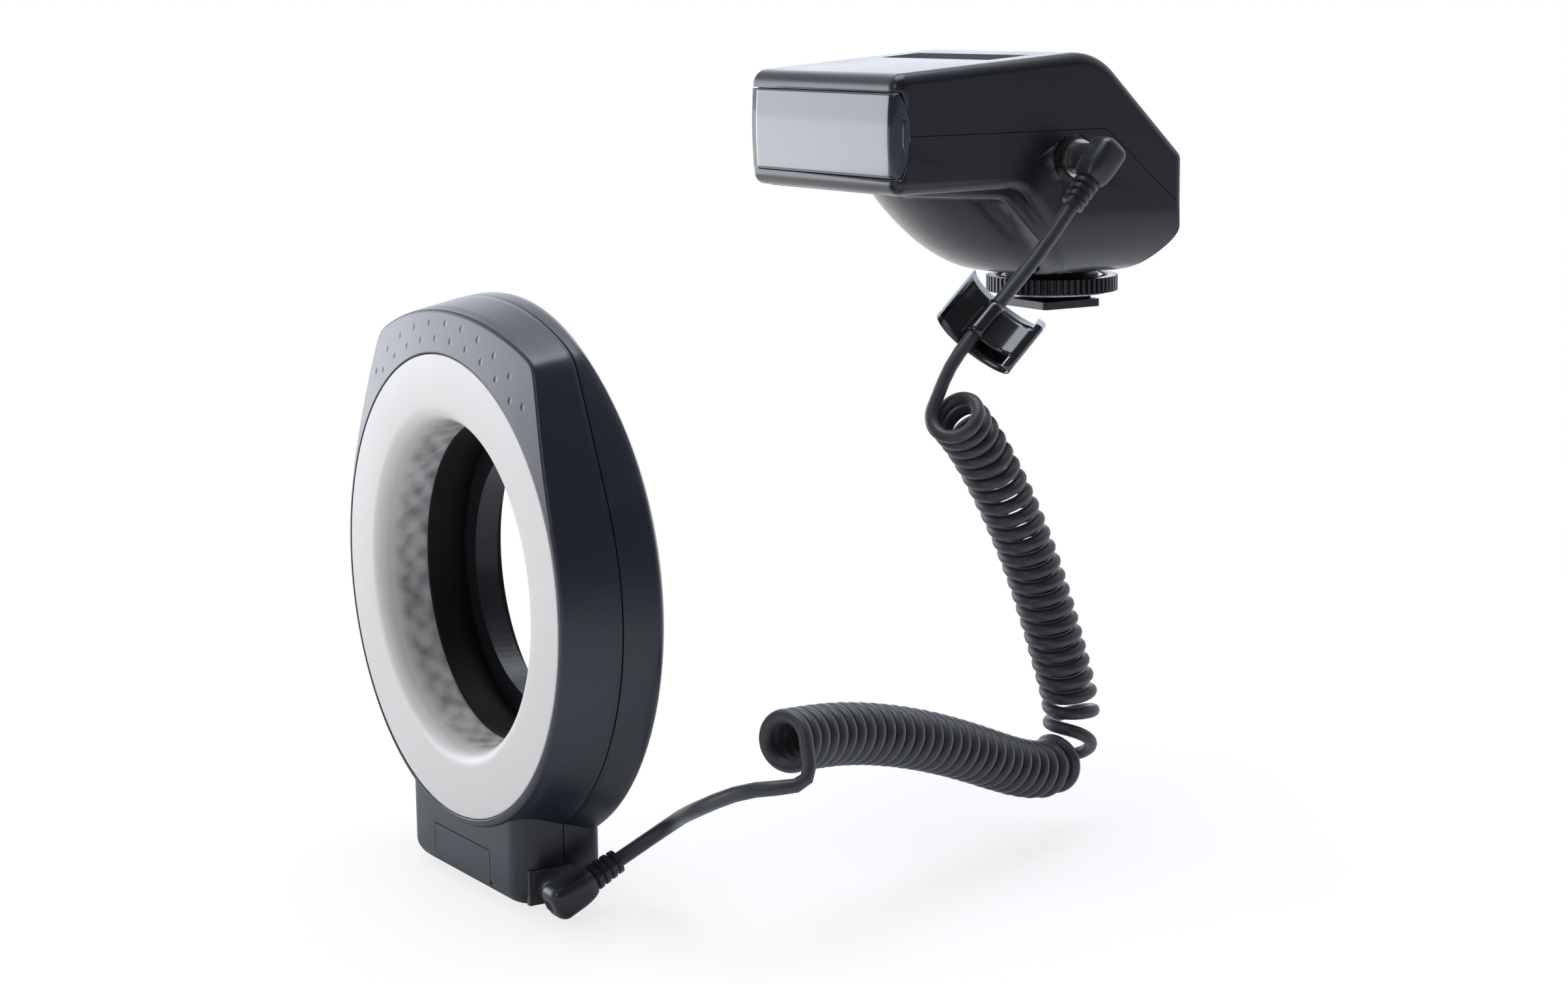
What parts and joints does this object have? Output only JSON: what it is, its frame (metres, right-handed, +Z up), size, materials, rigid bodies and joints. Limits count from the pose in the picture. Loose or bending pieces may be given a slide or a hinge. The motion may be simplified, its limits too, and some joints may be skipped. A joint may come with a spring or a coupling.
{
  "type": "macro ring light",
  "caption": "Macro ring light: lamp ring with frosted diffuser and lens adapter, curly cord with angled plugs, and a battery control unit on a shoe foot with a lock ring.",
  "frame": {"origin": "middle of the underside of the shoe foot", "axes": "+Z up out of the shoe, the ring faces -Y and its lens axis is along Y, the sockets and cord are on the +X side"},
  "size_m": [0.1607, 0.1971, 0.1947],
  "materials": {
    "shell_blue": "satin",
    "shell_black": "satin",
    "frosted": "frosted translucent",
    "board_green": "solder mask",
    "lamp": "clear",
    "steel": "satin",
    "black_metal": "satin",
    "plate_dark": "gloss",
    "gold_metal": "bright",
    "bright_metal": "bright",
    "soft_black": "matt",
    "gloss_black": "high gloss",
    "label_film": "gloss film with white edge",
    "cell_wrap": "gloss",
    "smoked": "clear smoked",
    "grey_plastic": "matt"
  },
  "bodies": {
    "ring_light": {"ring_front_shell": "shell_blue", "ring_rear_shell": "shell_black", "diffuser": "frosted", "led_board": "board_green", "leds": "lamp", "board_screws": "steel", "head_screws": "steel", "badge_plate": "plate_dark", "driver_board": "board_green", "socket_panel": "grey_plastic", "ring_socket": "soft_black", "adapter_ring": "black_metal", "ring_plug": "soft_black", "unit_plug": "soft_black", "ring_plug_pin": "bright_metal", "unit_plug_pin": "bright_metal", "cord_coil": "soft_black", "upper_lead": "soft_black", "lower_lead": "soft_black", "flag_label": "label_film", "unit_lower_shell": "shell_black", "unit_upper_shell": "shell_black", "door_pin": "steel", "battery_box": "grey_plastic", "cell_1": "cell_wrap", "cell_2": "cell_wrap", "cell_3": "cell_wrap", "cell_4": "cell_wrap", "battery_springs": "steel", "main_board": "board_green", "control_board": "board_green", "pilot_lamp": "smoked", "rear_panel": "gloss_black", "top_band": "plate_dark", "jack_body": "soft_black", "jack_nut": "bright_metal", "unit_screws": "steel", "shoe_foot": "black_metal", "shoe_contact": "gold_metal", "neck_nut": "steel"},
    "door": {"battery_door": "gloss_black", "door_contacts": "gold_metal"},
    "mode_button": {"mode_button": "grey_plastic"},
    "test_button": {"test_button": "grey_plastic"},
    "power_switch": {"power_switch": "grey_plastic"},
    "clamp_plate": {"clamp_plate": "steel"},
    "lock_ring": {"lock_ring": "black_metal"}
  },
  "joints": [
    {"name": "door_hinge", "type": "hinge", "parent": "ring_light", "child": "door", "pos_m": [-0.0313, -0.0705, 0.04825], "axis": [0, 0, -1], "range_deg": [0, 100]},
    {"name": "mode_press", "type": "slide", "parent": "ring_light", "child": "mode_button", "axis": [0, -0.6994, -0.7148], "range_m": [0, 0.0008], "stiffness_N_per_m": 1200},
    {"name": "test_press", "type": "slide", "parent": "ring_light", "child": "test_button", "axis": [0, -0.6994, -0.7148], "range_m": [0, 0.0008], "stiffness_N_per_m": 1200},
    {"name": "power_slide", "type": "slide", "parent": "ring_light", "child": "power_switch", "axis": [1, 0, 0], "range_m": [-0.002, 0.002]},
    {"name": "clamp_slide", "type": "slide", "parent": "ring_light", "child": "clamp_plate", "axis": [0, 0, 1], "range_m": [0, 0.0015]},
    {"name": "lock_turn", "type": "hinge", "parent": "clamp_plate", "child": "lock_ring", "pos_m": [0, 0, 0.006], "axis": [0, 0, 1], "range_deg": [0, 540]}
  ],
  "couplings": [
    {"joint": "clamp_slide", "follows": "lock_turn", "m_per_rad": 0.00015915}
  ]
}
